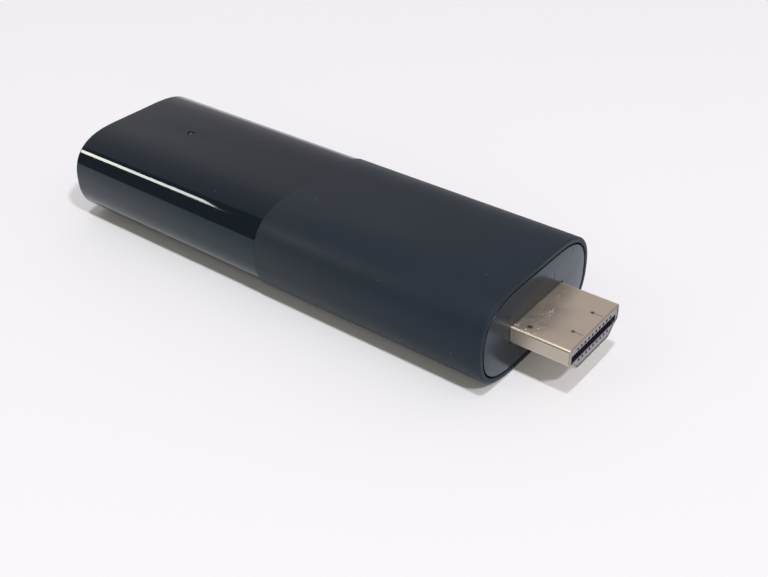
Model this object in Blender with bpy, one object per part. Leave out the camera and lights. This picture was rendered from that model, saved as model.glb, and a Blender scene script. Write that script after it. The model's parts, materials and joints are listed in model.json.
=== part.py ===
"""Streaming media player stick: a moulded two-part tube with a plug at its nose.

Metres, +Z up. The origin is at the bottom centre of the whole stick, which lies flat.
+X runs from the closed tail to the tip of the plug, and +Y is the side of the power socket.
"""

from math import cos, hypot, pi, radians, sin

import bmesh
import bpy
from mathutils import Vector

MM = 0.001

# Driving dimensions: the tube.
BODY_LENGTH = 83.1 * MM
BODY_WIDTH = 29.0 * MM
BODY_HEIGHT = 15.0 * MM
FLAT_HALF_WIDTH = 4.0 * MM
SIDE_EXPONENT = 2.8
CROWN_EXPONENT = 2.48
OUTLINE_STEPS = 9
SHARP_ANGLE = radians(30)
WALL = 1.2 * MM
TAIL_LENGTH = 42.0 * MM
TAIL_STEP = 0.15 * MM
TAIL_FILLET = 0.4 * MM
NOSE_FILLET = 0.3 * MM
SEAM_GAP = 0.1 * MM
SPIGOT_LENGTH = 4.0 * MM
SPIGOT_WALL = 0.9 * MM
SPIGOT_CLEARANCE = 0.1 * MM

# Fits.
SEAT_GAP = 0.05 * MM
SOLDER_GAP = 0.04 * MM

# The end plate and its two snap hooks.
RIM_WALL = 0.85 * MM
PLATE_GAP = 0.3 * MM
PLATE_THICKNESS = 1.4 * MM
PLATE_EDGE = 0.12 * MM
LEDGE_WALL = 1.9 * MM
LEDGE_LENGTH = 1.3 * MM
HOOK_WIDTH = 5.0 * MM
HOOK_THICKNESS = 0.8 * MM
HOOK_BARB = 0.5 * MM
HOOK_CLEARANCE = 0.12 * MM

# The plug.
PLUG_EXPOSED = 9.3 * MM
PLUG_CENTRE_HEIGHT = 6.2 * MM
PLUG_WIDTH = 13.9 * MM
PLUG_HEIGHT = 4.45 * MM
PLUG_SHEET = 0.3 * MM
PLUG_BURIED = 8.6 * MM
PLUG_CORNER = 0.45 * MM
PLUG_LIP = 0.16 * MM
PLUG_WALL_DROP = 2.575 * MM
PLUG_NOTCH = 1.05 * MM
PLUG_NOTCH_DROP = 0.45 * MM
PLUG_SLOPE_RUN = 1.35 * MM
PLATE_CUT_GAP = 0.2 * MM
KEY_HOLE_RADIUS = 0.3 * MM
KEY_SLIT_WIDTH = 0.12 * MM
KEY_HOLE_FROM_TIP = 2.0 * MM
KEY_SLIT_END = 0.45 * MM
KEY_HOLE_OFFSET = 2.7 * MM

# The moulded insulator inside the plug, and its contacts.
INSULATOR_GAP = 0.05 * MM
INSULATOR_RECESS = 0.1 * MM
INSULATOR_REAR = 0.9 * MM
MATING_SLOT_HEIGHT = 1.36 * MM
MATING_SLOT_RAISE = 0.15 * MM
MATING_SLOT_SIDE = 0.45 * MM
MATING_SLOT_DEPTH = 7.0 * MM
CONTACT_PITCH = 1.0 * MM
UPPER_CONTACTS = 10
LOWER_CONTACTS = 9
CHANNEL_WIDTH = 0.5 * MM
CHANNEL_DEPTH = 0.62 * MM
CHANNEL_LIP = 0.14 * MM
CHANNEL_LIP_LENGTH = 0.6 * MM
CONTACT_WIDTH = 0.34 * MM
CONTACT_SHEET = 0.15 * MM
CONTACT_TIP_GAP = 0.8 * MM
CONTACT_CLEARANCE = 1.0 * MM
CONTACT_CROWN = 0.16 * MM
CROWN_FROM_TIP = 1.2 * MM
CROWN_LENGTH = 0.5 * MM
CONTACT_TAIL = 1.6 * MM
CONTACT_BEND = 0.5 * MM

# The main board. It lies level between the two rows of contact tails.
BOARD_THICKNESS = 1.0 * MM
BOARD_SIDE_GAP = 0.4 * MM
BOARD_TAIL_GAP = 1.6 * MM
BOARD_SHOULDER = 1.4 * MM
RAIL_HEIGHT = 1.1 * MM
RAIL_OVERLAP = 0.9 * MM
RAIL_END_GAP = 1.5 * MM

# The power socket, on the +Y side of the tail half.
SOCKET_FROM_TAIL = 20.0 * MM
SOCKET_WIDTH = 7.5 * MM
SOCKET_HEIGHT = 2.5 * MM
SOCKET_DEPTH = 5.0 * MM
SOCKET_SHEET = 0.25 * MM
SOCKET_CHAMFER = 0.8 * MM
SOCKET_MOUTH_GAP = 0.5 * MM
SOCKET_INSET = 0.5 * MM
TONGUE_THICKNESS = 0.6 * MM
TONGUE_BASE = 1.2 * MM
TONGUE_SIDE_GAP = 0.7 * MM
TONGUE_TIP_GAP = 0.5 * MM
TONGUE_RAISE = 1.55 * MM
POWER_CONTACTS = 5
POWER_PITCH = 0.65 * MM
POWER_CONTACT_WIDTH = 0.3 * MM
POWER_CONTACT_SHEET = 0.12 * MM

# The status light and the window that it shows through.
WINDOW_FROM_TAIL = 14.3 * MM
WINDOW_DIAMETER = 1.3 * MM
LIGHT_PIPE_TIP = 0.85 * MM
LIGHT_PIPE_STEM = 2.2 * MM
LIGHT_PIPE_FLANGE = 3.6 * MM
LIGHT_PIPE_FLANGE_HEIGHT = 0.7 * MM
LIGHT_PIPE_RECESS = 0.05 * MM
LIGHT_GAP = 0.3 * MM

# Shields, pads and heat spreaders.
SHIELD_FRONT_GAP = 3.0 * MM
SHIELD_LENGTH = 30.0 * MM
SHIELD_SIDE_GAP = 1.6 * MM
SHIELD_SHEET = 0.25 * MM
UPPER_SHIELD_HEIGHT = 2.4 * MM
LOWER_SHIELD_HEIGHT = 1.7 * MM
LID_SKIRT = 1.2 * MM
LID_GAP = 0.06 * MM
SPREADER_THICKNESS = 0.8 * MM
SPREADER_LENGTH = 40.0 * MM
SPREADER_FLANGE = 1.6 * MM
SPREADER_ROOF_GAP = 0.3 * MM
LOWER_SPREADER_THICKNESS = 0.6 * MM
PAD_BEVEL = 0.15 * MM
PAD_MARGIN = 4.0 * MM

# Board parts: length, width and height, and the gaps that set them out.
PROCESSOR_SIZE = (13.0 * MM, 13.0 * MM, 1.1 * MM)
PROCESSOR_PAD_MARGIN = 0.5 * MM
MEMORY_SIZE = (12.0 * MM, 8.0 * MM, 0.9 * MM)
STORAGE_SIZE = (11.5 * MM, 13.0 * MM, 0.9 * MM)
WIRELESS_SIZE = (9.0 * MM, 9.0 * MM, 1.4 * MM)
REGULATOR_SIZE = (4.0 * MM, 4.0 * MM, 0.8 * MM)
INDUCTOR_SIZE = (3.0 * MM, 3.0 * MM, 1.5 * MM)
CRYSTAL_SIZE = (3.2 * MM, 2.5 * MM, 0.7 * MM)
CAPACITOR_SIZE = (3.5 * MM, 2.8 * MM, 1.9 * MM)
STATUS_LED_SIZE = (1.6 * MM, 0.8 * MM, 0.6 * MM)
CHIP_BEVEL = 0.12 * MM
LED_BEVEL = 0.08 * MM
CHIP_GAP = 1.2 * MM
SHIELDED_GAP = 2.2 * MM
WIRELESS_GAP = 3.5 * MM
ANTENNA_CENTRE_GAP = 0.8 * MM
ANTENNA_WIDTH = 2.4 * MM
ANTENNA_HEIGHT = 2.6 * MM
ANTENNA_FOOT = 2.0 * MM
ANTENNA_SHEET = 0.25 * MM
ANTENNA_EDGE_GAP = 2.0 * MM

# Places that follow from the driving dimensions.
TOTAL_LENGTH = BODY_LENGTH + PLUG_EXPOSED
TAIL_X = -TOTAL_LENGTH / 2
NOSE_X = TAIL_X + BODY_LENGTH
TIP_X = TAIL_X + TOTAL_LENGTH
PARTING_X = TAIL_X + TAIL_LENGTH
SPIGOT_END_X = PARTING_X + SPIGOT_LENGTH
MIDDLE_Z = BODY_HEIGHT / 2
LEDGE_X = NOSE_X - PLATE_THICKNESS - SEAT_GAP
LEDGE_REAR_X = LEDGE_X - LEDGE_LENGTH
SPIGOT_INSET = WALL + SPIGOT_CLEARANCE
SPIGOT_INNER = SPIGOT_INSET + SPIGOT_WALL
TAIL_INNER = TAIL_STEP + WALL

PLUG_REAR_X = NOSE_X - PLUG_BURIED
PLUG_Z = PLUG_CENTRE_HEIGHT
INSULATOR_FRONT_X = TIP_X - INSULATOR_RECESS
INSULATOR_REAR_X = PLUG_REAR_X - INSULATOR_REAR
SLOT_Z = PLUG_Z + MATING_SLOT_RAISE
SLOT_TOP_Z = SLOT_Z + MATING_SLOT_HEIGHT / 2
SLOT_BOTTOM_Z = SLOT_Z - MATING_SLOT_HEIGHT / 2

BOARD_Z = SLOT_Z
BOARD_TOP = BOARD_Z + BOARD_THICKNESS / 2
BOARD_BOTTOM = BOARD_Z - BOARD_THICKNESS / 2
BOARD_TAIL_X = TAIL_X + TAIL_INNER + BOARD_TAIL_GAP
BOARD_NOSE_X = INSULATOR_REAR_X - SEAT_GAP

SHIELD_NOSE_X = BOARD_NOSE_X - CONTACT_TAIL - SHIELD_FRONT_GAP
SHIELD_TAIL_X = SHIELD_NOSE_X - SHIELD_LENGTH
SHIELD_X = (SHIELD_NOSE_X + SHIELD_TAIL_X) / 2
SOCKET_X = TAIL_X + SOCKET_FROM_TAIL
WINDOW_X = TAIL_X + WINDOW_FROM_TAIL


# Materials.

def make_material(name, colour, roughness, metallic=0.0):
    material = bpy.data.materials.new(name)
    material.use_nodes = True
    shader = material.node_tree.nodes["Principled BSDF"]
    shader.inputs["Base Color"].default_value = (*colour, 1.0)
    shader.inputs["Roughness"].default_value = roughness
    shader.inputs["Metallic"].default_value = metallic
    material.diffuse_color = (*colour, 1.0)
    return material


def make_materials():
    return {
        "matte_shell": make_material("matte_shell", (0.022, 0.030, 0.042), 0.55),
        "gloss_shell": make_material("gloss_shell", (0.008, 0.011, 0.016), 0.08),
        "end_plate": make_material("end_plate", (0.045, 0.055, 0.070), 0.42),
        "light_pipe": make_material("light_pipe", (0.45, 0.47, 0.50), 0.25),
        "plated_steel": make_material("plated_steel", (0.62, 0.57, 0.50), 0.28, 1.0),
        "insulator": make_material("insulator", (0.030, 0.032, 0.036), 0.50),
        "gold": make_material("gold", (0.85, 0.62, 0.28), 0.25, 1.0),
        "board": make_material("board", (0.012, 0.060, 0.050), 0.45),
        "chip": make_material("chip", (0.020, 0.020, 0.022), 0.60),
        "shield_steel": make_material("shield_steel", (0.60, 0.60, 0.58), 0.35, 1.0),
        "thermal_pad": make_material("thermal_pad", (0.38, 0.45, 0.52), 0.80),
        "aluminium": make_material("aluminium", (0.72, 0.73, 0.75), 0.40, 1.0),
        "ferrite": make_material("ferrite", (0.08, 0.08, 0.085), 0.70),
        "ceramic": make_material("ceramic", (0.45, 0.32, 0.20), 0.55),
        "led_resin": make_material("led_resin", (0.80, 0.80, 0.72), 0.35),
    }


# Meshes.

def add_mesh(name, build, material):
    """A new object whose mesh `build` fills, with its faces pointing out."""
    shape = bmesh.new()
    build(shape)
    bmesh.ops.recalc_face_normals(shape, faces=shape.faces)
    mesh = bpy.data.meshes.new(name)
    shape.to_mesh(mesh)
    shape.free()
    mesh.shade_smooth()
    mesh.set_sharp_from_angle(angle=SHARP_ANGLE)
    if material:
        mesh.materials.append(material)
    obj = bpy.data.objects.new(name, mesh)
    bpy.context.scene.collection.objects.link(obj)
    return obj


def add_rings(name, rings, material, capped):
    """A skin over rings of equal length: capped at both ends, or closed into a sleeve."""

    def build(shape):
        loops = [[shape.verts.new(point) for point in ring] for ring in rings]
        pairs = list(zip(loops, loops[1:]))
        if capped:
            shape.faces.new(loops[0])
            shape.faces.new(loops[-1])
        else:
            pairs.append((loops[-1], loops[0]))
        for first, second in pairs:
            for i in range(len(first)):
                j = (i + 1) % len(first)
                shape.faces.new((first[i], first[j], second[j], second[i]))

    return add_mesh(name, build, material)


def add_box(name, low, high, material, bevel=0.0):
    low, high = Vector(low), Vector(high)

    def build(shape):
        bmesh.ops.create_cube(shape, size=1.0)
        bmesh.ops.scale(shape, vec=high - low, verts=shape.verts)

    obj = add_mesh(name, build, material)
    obj.location = (low + high) / 2
    if bevel:
        edge = obj.modifiers.new("edge", "BEVEL")
        edge.width = bevel
        edge.segments = 1
    return obj


def add_block(name, x, y, base_z, size, material, bevel=CHIP_BEVEL):
    """A box of this size, centred over x and y, standing on base_z."""
    low = (x - size[0] / 2, y - size[1] / 2, base_z)
    high = (x + size[0] / 2, y + size[1] / 2, base_z + size[2])
    return add_box(name, low, high, material, bevel)


def add_turned(name, x, y, profile, material, steps=16):
    """A solid turned about the vertical through x and y, from (radius, z) points."""

    def ring(radius, z):
        turns = [2 * pi * i / steps for i in range(steps)]
        return [(x + radius * cos(turn), y + radius * sin(turn), z) for turn in turns]

    return add_rings(name, [ring(*point) for point in profile], material, capped=True)


def add_prism(name, outline, axis, start, end, material, bevel=0.0):
    """The outline swept along one axis. Its points are given in the other two, in order."""

    def place(point, depth):
        first, second = point
        along = {"X": (depth, first, second), "Y": (first, depth, second), "Z": (first, second, depth)}
        return along[axis]

    rings = [[place(point, depth) for point in outline] for depth in (start, end)]
    obj = add_rings(name, rings, material, capped=True)
    if bevel:
        edge = obj.modifiers.new("edge", "BEVEL")
        edge.width = bevel
        edge.segments = 1
        edge.limit_method = "ANGLE"
    return obj


def add_boolean(target, tool, operation):
    tool.hide_render = True
    tool.display_type = "WIRE"
    modifier = target.modifiers.new(tool.name, "BOOLEAN")
    modifier.operation = operation
    modifier.object = tool


def cut(target, tool):
    add_boolean(target, tool, "DIFFERENCE")


def join(target, tool):
    add_boolean(target, tool, "UNION")


# Outlines.

def body_outline(inset):
    """The tube's section: a flat strip top and bottom, and a superellipse shoulder between."""
    half_width = BODY_WIDTH / 2 - FLAT_HALF_WIDTH
    quarter = []
    for step in range(OUTLINE_STEPS + 1):
        turn = pi / 2 * step / OUTLINE_STEPS
        side = cos(turn) ** (2 / SIDE_EXPONENT) if step < OUTLINE_STEPS else 0.0
        rise = sin(turn) ** (2 / CROWN_EXPONENT)
        slope_y = SIDE_EXPONENT / half_width * side ** (SIDE_EXPONENT - 1)
        slope_z = CROWN_EXPONENT / MIDDLE_Z * rise ** (CROWN_EXPONENT - 1)
        steepness = hypot(slope_y, slope_z)
        y = FLAT_HALF_WIDTH + half_width * side - inset * slope_y / steepness
        z = MIDDLE_Z * rise - inset * slope_z / steepness
        quarter.append((y, z))
    left = [(-y, z) for y, z in reversed(quarter)]
    upper = quarter + left
    lower = [(y, -z) for y, z in reversed(upper[1:-1])]
    return [(y, MIDDLE_Z + z) for y, z in upper + lower]


def body_ring(x, inset):
    return [(x, y, z) for y, z in body_outline(inset)]


def body_side(height, inset):
    """How far out in Y the tube, moved in by this inset, reaches at this height."""
    outline = body_outline(inset)
    for (first_y, first_z), (second_y, second_z) in zip(outline, outline[1:] + outline[:1]):
        if first_y > 0 and second_y > 0 and min(first_z, second_z) <= height < max(first_z, second_z):
            share = (height - first_z) / (second_z - first_z)
            return first_y + share * (second_y - first_y)
    raise ValueError("the tube doesn't reach this height")


def board_half_width():
    """The board passes through the spigot, which is the narrowest place."""
    return body_side(BOARD_BOTTOM, SPIGOT_INNER) - BOARD_SIDE_GAP


def shield_half_width():
    return board_half_width() - SHIELD_SIDE_GAP


def spreader_half_width():
    """The spreaders pass through the spigot too, near its roof and its floor."""
    return body_side(SPIGOT_INNER + SPREADER_ROOF_GAP, SPIGOT_INNER) - SPREADER_ROOF_GAP


def fillet_rings(end_x, radius, base_inset, direction, steps=3):
    """Rings that round the edge where the tube meets a flat end, from the side to the end."""
    rings = []
    for step in range(steps + 1):
        turn = pi / 2 * step / steps
        x = end_x - direction * radius * (1 - sin(turn))
        rings.append(body_ring(x, base_inset + radius * (1 - cos(turn))))
    return rings


def inset_outline(points, inset):
    """An outline, given anticlockwise, moved inwards by the same distance all round."""
    moved = []
    for i, point in enumerate(points):
        here = Vector(point)
        into = (here - Vector(points[i - 1])).normalized()
        out = (Vector(points[(i + 1) % len(points)]) - here).normalized()
        normals = Vector((-into.y, into.x)), Vector((-out.y, out.x))
        corner = (normals[0] + normals[1]) / (1 + normals[0].dot(normals[1]))
        moved.append(tuple(here + inset * corner))
    return moved


def round_corners(points, radius, steps=3):
    """Each corner of an outline replaced by an arc that starts `radius` before it."""
    rounded = []
    for i, point in enumerate(points):
        here = Vector(point)
        start = here + (Vector(points[i - 1]) - here).normalized() * radius
        end = here + (Vector(points[(i + 1) % len(points)]) - here).normalized() * radius
        for step in range(steps + 1):
            t = step / steps
            rounded.append(tuple((1 - t) ** 2 * start + 2 * t * (1 - t) * here + t * t * end))
    return rounded


def plug_corners():
    """The plug's section: a wide upper part, a step in, and a sloping lower part."""
    half_width, half_height = PLUG_WIDTH / 2, PLUG_HEIGHT / 2
    wall_z = half_height - PLUG_WALL_DROP
    notch_y = half_width - PLUG_NOTCH
    right = [
        (notch_y - PLUG_SLOPE_RUN, -half_height),
        (notch_y, wall_z - PLUG_NOTCH_DROP),
        (half_width, wall_z),
        (half_width, half_height),
    ]
    left = [(-y, z) for y, z in reversed(right)]
    return [(y, PLUG_Z + z) for y, z in right + left]


def plug_outline(inset):
    return round_corners(inset_outline(plug_corners(), inset), PLUG_CORNER)


def plug_ring(x, inset):
    return [(x, y, z) for y, z in plug_outline(inset)]


# Casing.

def make_front_shell(materials):
    rings = [
        body_ring(PARTING_X, PLATE_EDGE),
        body_ring(PARTING_X + PLATE_EDGE, 0.0),
        *fillet_rings(NOSE_X, NOSE_FILLET, 0.0, 1),
        body_ring(NOSE_X, RIM_WALL),
        body_ring(LEDGE_X, RIM_WALL),
        body_ring(LEDGE_X, LEDGE_WALL),
        body_ring(LEDGE_REAR_X, LEDGE_WALL),
        body_ring(LEDGE_REAR_X, WALL),
        body_ring(PARTING_X, WALL),
    ]
    shell = add_rings("front_shell", rings, materials["matte_shell"], capped=False)
    add_board_rails(shell, SPIGOT_END_X + RAIL_END_GAP, PLUG_REAR_X - RAIL_END_GAP, WALL)
    return shell


def make_tail_shell(materials):
    shoulder_x = PARTING_X - SEAM_GAP
    thick_x = shoulder_x - SPIGOT_WALL
    rings = [
        *reversed(fillet_rings(TAIL_X, TAIL_FILLET, TAIL_STEP, -1)),
        body_ring(shoulder_x - PLATE_EDGE, TAIL_STEP),
        body_ring(shoulder_x, TAIL_STEP + PLATE_EDGE),
        body_ring(shoulder_x, SPIGOT_INSET),
        body_ring(SPIGOT_END_X, SPIGOT_INSET),
        body_ring(SPIGOT_END_X, SPIGOT_INNER),
        body_ring(thick_x, SPIGOT_INNER),
        body_ring(thick_x - SPIGOT_WALL, TAIL_INNER),
        body_ring(TAIL_X + TAIL_INNER, TAIL_INNER),
    ]
    shell = add_rings("tail_shell", rings, materials["gloss_shell"], capped=True)
    add_board_rails(shell, BOARD_TAIL_X, thick_x - SPIGOT_WALL - RAIL_END_GAP, TAIL_INNER)
    cut(shell, make_window_cutter())
    cut(shell, make_socket_cutter())
    return shell


def add_board_rails(shell, start_x, end_x, wall_inset):
    """A rail along each inner side, which the board's edge rests on."""
    top_z = BOARD_BOTTOM - SEAT_GAP
    bottom_z = top_z - RAIL_HEIGHT
    inner_y = board_half_width() - RAIL_OVERLAP
    outer_y = body_side(bottom_z, wall_inset) + WALL / 3
    for side in (-1, 1):
        low = (start_x, min(side * inner_y, side * outer_y), bottom_z)
        high = (end_x, max(side * inner_y, side * outer_y), top_z)
        join(shell, add_box(f"{shell.name}_rail_{side:+d}", low, high, None))


def make_window_cutter():
    profile = [(WINDOW_DIAMETER / 2, MIDDLE_Z), (WINDOW_DIAMETER / 2, BODY_HEIGHT + WALL)]
    return add_turned("window_cutter", WINDOW_X, 0.0, profile, None)


def make_socket_cutter():
    outline = socket_outline(-SOCKET_MOUTH_GAP)
    start_y = BODY_WIDTH / 2 - 3 * WALL
    return add_prism("socket_cutter", outline, "Y", start_y, BODY_WIDTH / 2 + WALL, None)


def make_end_plate(materials):
    plate_inset = RIM_WALL + PLATE_GAP
    rear_x = NOSE_X - PLATE_THICKNESS
    rings = [
        body_ring(rear_x, plate_inset),
        body_ring(NOSE_X - PLATE_EDGE, plate_inset),
        body_ring(NOSE_X, plate_inset + PLATE_EDGE),
    ]
    plate = add_rings("end_plate", rings, materials["end_plate"], capped=True)
    cutter_start = rear_x - PLATE_THICKNESS
    cutter_end = NOSE_X + PLATE_THICKNESS
    outline = plug_outline(-PLATE_CUT_GAP)
    cut(plate, add_prism("plug_cutter", outline, "X", cutter_start, cutter_end, None))
    for side, label in ((1, "upper"), (-1, "lower")):
        join(plate, make_snap_hook(f"{label}_hook", side, rear_x))
    return plate


def make_snap_hook(name, side, rear_x):
    """A springy tongue behind the plate, with a barb that catches behind the shell's ledge."""
    outer = MIDDLE_Z - LEDGE_WALL - HOOK_CLEARANCE
    inner = outer - HOOK_THICKNESS
    barb = outer + HOOK_BARB
    catch_x = LEDGE_REAR_X - HOOK_CLEARANCE
    end_x = catch_x - 2 * HOOK_BARB
    root_x = rear_x + PLATE_THICKNESS / 2
    outline = [
        (root_x, inner),
        (end_x, inner),
        (end_x, outer),
        (catch_x, barb),
        (catch_x, outer),
        (root_x, outer),
    ]
    outline = [(x, MIDDLE_Z + side * z) for x, z in outline]
    return add_prism(name, outline, "Y", -HOOK_WIDTH / 2, HOOK_WIDTH / 2, None)


def make_light_pipe(materials):
    """A stepped pin: its thin tip shows in the window, its flange bears under the shell."""
    tip_z = BODY_HEIGHT - TAIL_STEP - LIGHT_PIPE_RECESS
    flange_top = BODY_HEIGHT - TAIL_INNER - SEAT_GAP
    flange_bottom = flange_top - LIGHT_PIPE_FLANGE_HEIGHT
    bottom_z = BOARD_TOP + STATUS_LED_SIZE[2] + LIGHT_GAP
    tip = LIGHT_PIPE_TIP / 2
    profile = [
        (LIGHT_PIPE_STEM / 2, bottom_z),
        (LIGHT_PIPE_STEM / 2, flange_bottom),
        (LIGHT_PIPE_FLANGE / 2, flange_bottom),
        (LIGHT_PIPE_FLANGE / 2, flange_top),
        (tip, flange_top),
        (tip, tip_z - LIGHT_PIPE_RECESS),
        (tip - LIGHT_PIPE_RECESS, tip_z),
    ]
    return add_turned("light_pipe", WINDOW_X, 0.0, profile, materials["light_pipe"])


# Plug.

def make_plug_shell(materials):
    rings = [
        plug_ring(PLUG_REAR_X, 0.0),
        plug_ring(TIP_X - PLUG_LIP, 0.0),
        plug_ring(TIP_X - PLUG_LIP / 3, PLUG_LIP / 3),
        plug_ring(TIP_X, PLUG_LIP),
        plug_ring(TIP_X, PLUG_SHEET),
        plug_ring(PLUG_REAR_X, PLUG_SHEET),
    ]
    shell = add_rings("plug_shell", rings, materials["plated_steel"], capped=False)
    for side in (-1, 1):
        cut(shell, make_key_hole_cutter(f"key_hole_cutter_{side:+d}", side))
    return shell


def make_key_hole_cutter(name, side):
    """A round hole with a slit that runs from it towards the tip, for a catch spring."""
    hole_x = TIP_X - KEY_HOLE_FROM_TIP
    slit_half = KEY_SLIT_WIDTH / 2
    centre_y = side * KEY_HOLE_OFFSET
    open_turn = slit_half / KEY_HOLE_RADIUS
    outline = [(TIP_X - KEY_SLIT_END, centre_y - slit_half), (TIP_X - KEY_SLIT_END, centre_y + slit_half)]
    steps = 12
    for step in range(steps + 1):
        turn = open_turn + (2 * pi - 2 * open_turn) * step / steps
        outline.append((hole_x + KEY_HOLE_RADIUS * cos(turn), centre_y + KEY_HOLE_RADIUS * sin(turn)))
    top_z = PLUG_Z + PLUG_HEIGHT / 2
    return add_prism(name, outline, "Z", top_z - 2 * PLUG_SHEET, top_z + PLUG_SHEET, None)


def channel_places(count):
    return [(i - (count - 1) / 2) * CONTACT_PITCH for i in range(count)]


def channel_rows():
    """(label, count, side) of the upper and lower rows: side is the way away from the slot."""
    return (("upper", UPPER_CONTACTS, 1), ("lower", LOWER_CONTACTS, -1))


def slot_face(side):
    return SLOT_TOP_Z if side > 0 else SLOT_BOTTOM_Z


def make_plug_insulator(materials):
    inset = PLUG_SHEET + INSULATOR_GAP
    outline = plug_outline(inset)
    block = add_prism(
        "plug_insulator", outline, "X", INSULATOR_REAR_X, INSULATOR_FRONT_X, materials["insulator"]
    )
    slot_half = PLUG_WIDTH / 2 - inset - MATING_SLOT_SIDE
    low = (INSULATOR_FRONT_X - MATING_SLOT_DEPTH, -slot_half, SLOT_BOTTOM_Z)
    high = (TIP_X + PLUG_SHEET, slot_half, SLOT_TOP_Z)
    cut(block, add_box("slot_cutter", low, high, None))
    for label, count, side in channel_rows():
        for i, y in enumerate(channel_places(count)):
            cut(block, make_channel_cutter(f"{label}_channel_cutter_{i + 1:02d}", y, side))
    return block


def make_channel_cutter(name, y, side):
    """A groove beside the mating slot. At the front a thin lip closes it off from the slot."""
    face = slot_face(side)
    lip_x = INSULATOR_FRONT_X - CHANNEL_LIP_LENGTH
    outline = [
        (INSULATOR_REAR_X - PLUG_SHEET, face + side * CHANNEL_DEPTH),
        (TIP_X + PLUG_SHEET, face + side * CHANNEL_DEPTH),
        (TIP_X + PLUG_SHEET, face + side * CHANNEL_LIP),
        (lip_x, face + side * CHANNEL_LIP),
        (lip_x, face - side * CHANNEL_LIP),
        (INSULATOR_FRONT_X - MATING_SLOT_DEPTH + PLUG_SHEET, face - side * CHANNEL_LIP),
        (INSULATOR_FRONT_X - MATING_SLOT_DEPTH + PLUG_SHEET, face + side * CHANNEL_LIP),
        (INSULATOR_REAR_X - PLUG_SHEET, face + side * CHANNEL_LIP),
    ]
    half = CHANNEL_WIDTH / 2
    return add_prism(name, outline, "Y", y - half, y + half, None)


def make_plug_contacts(materials):
    for label, count, side in channel_rows():
        for i, y in enumerate(channel_places(count)):
            name = f"{label}_contact_{i + 1:02d}"
            outline = contact_outline(side)
            half = CONTACT_WIDTH / 2
            add_prism(name, outline, "Y", y - half, y + half, materials["gold"])


def contact_outline(side):
    """A strip that runs level in its channel, crowns into the slot, and ends in a lifted tip."""
    board_face = BOARD_TOP if side > 0 else BOARD_BOTTOM
    face = slot_face(side)
    level = face + side * (CHANNEL_LIP + CHANNEL_DEPTH) / 2
    tail = board_face + side * (SOLDER_GAP + CONTACT_SHEET / 2)
    tip_x = INSULATOR_FRONT_X - CONTACT_TIP_GAP
    crown = face - side * CONTACT_CROWN
    centre = [
        (BOARD_NOSE_X - CONTACT_TAIL, tail),
        (BOARD_NOSE_X - CONTACT_BEND, tail),
        (INSULATOR_REAR_X, level),
        (INSULATOR_FRONT_X - MATING_SLOT_DEPTH + CONTACT_CLEARANCE, level),
        (tip_x - CROWN_FROM_TIP - CROWN_LENGTH, crown),
        (tip_x - CROWN_FROM_TIP, crown),
        (tip_x, level),
    ]
    half = CONTACT_SHEET / 2
    return [(x, z + half) for x, z in centre] + [(x, z - half) for x, z in reversed(centre)]


# Board.

def make_main_board(materials):
    plug_half = PLUG_WIDTH / 2
    half_width = board_half_width()
    shoulder_x = PLUG_REAR_X - BOARD_SHOULDER
    outline = [
        (BOARD_TAIL_X, -half_width),
        (shoulder_x, -half_width),
        (shoulder_x, -plug_half),
        (BOARD_NOSE_X, -plug_half),
        (BOARD_NOSE_X, plug_half),
        (shoulder_x, plug_half),
        (shoulder_x, half_width),
        (BOARD_TAIL_X, half_width),
    ]
    return add_prism("main_board", outline, "Z", BOARD_BOTTOM, BOARD_TOP, materials["board"])


def make_power_socket(materials):
    make_socket_shell(materials)
    make_socket_tongue(materials)
    make_power_contacts(materials)


def socket_base_z():
    return BOARD_TOP + SOLDER_GAP


def socket_front_y():
    return body_side(MIDDLE_Z, TAIL_STEP + SOCKET_INSET)


def socket_outline(inset):
    """The socket's mouth, in X and Z: a rectangle whose two lower corners are cut off."""
    half_width = SOCKET_WIDTH / 2
    bottom = socket_base_z()
    top = bottom + SOCKET_HEIGHT
    corners = [
        (SOCKET_X - half_width + SOCKET_CHAMFER, bottom),
        (SOCKET_X + half_width - SOCKET_CHAMFER, bottom),
        (SOCKET_X + half_width, bottom + SOCKET_CHAMFER),
        (SOCKET_X + half_width, top),
        (SOCKET_X - half_width, top),
        (SOCKET_X - half_width, bottom + SOCKET_CHAMFER),
    ]
    return inset_outline(corners, inset)


def make_socket_shell(materials):
    front_y = socket_front_y()
    rear_y = front_y - SOCKET_DEPTH

    def ring(y, inset):
        return [(x, y, z) for x, z in socket_outline(inset)]

    rings = [
        ring(rear_y, 0.0),
        ring(front_y, 0.0),
        ring(front_y, SOCKET_SHEET),
        ring(rear_y + SOCKET_SHEET, SOCKET_SHEET),
    ]
    return add_rings("power_socket_shell", rings, materials["shield_steel"], capped=True)


def tongue_z():
    return socket_base_z() + TONGUE_RAISE


def make_socket_tongue(materials):
    inset = SOCKET_SHEET + SEAT_GAP
    rear_y = socket_front_y() - SOCKET_DEPTH + inset
    base_y = rear_y + TONGUE_BASE
    outline = socket_outline(inset)
    base = add_prism("power_socket_tongue", outline, "Y", rear_y, base_y, materials["insulator"])
    half_width = SOCKET_WIDTH / 2 - SOCKET_SHEET - TONGUE_SIDE_GAP
    low = (SOCKET_X - half_width, base_y - TONGUE_BASE / 2, tongue_z() - TONGUE_THICKNESS / 2)
    high = (SOCKET_X + half_width, socket_front_y() - TONGUE_TIP_GAP, tongue_z() + TONGUE_THICKNESS / 2)
    join(base, add_box("tongue_blade", low, high, None))
    return base


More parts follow.
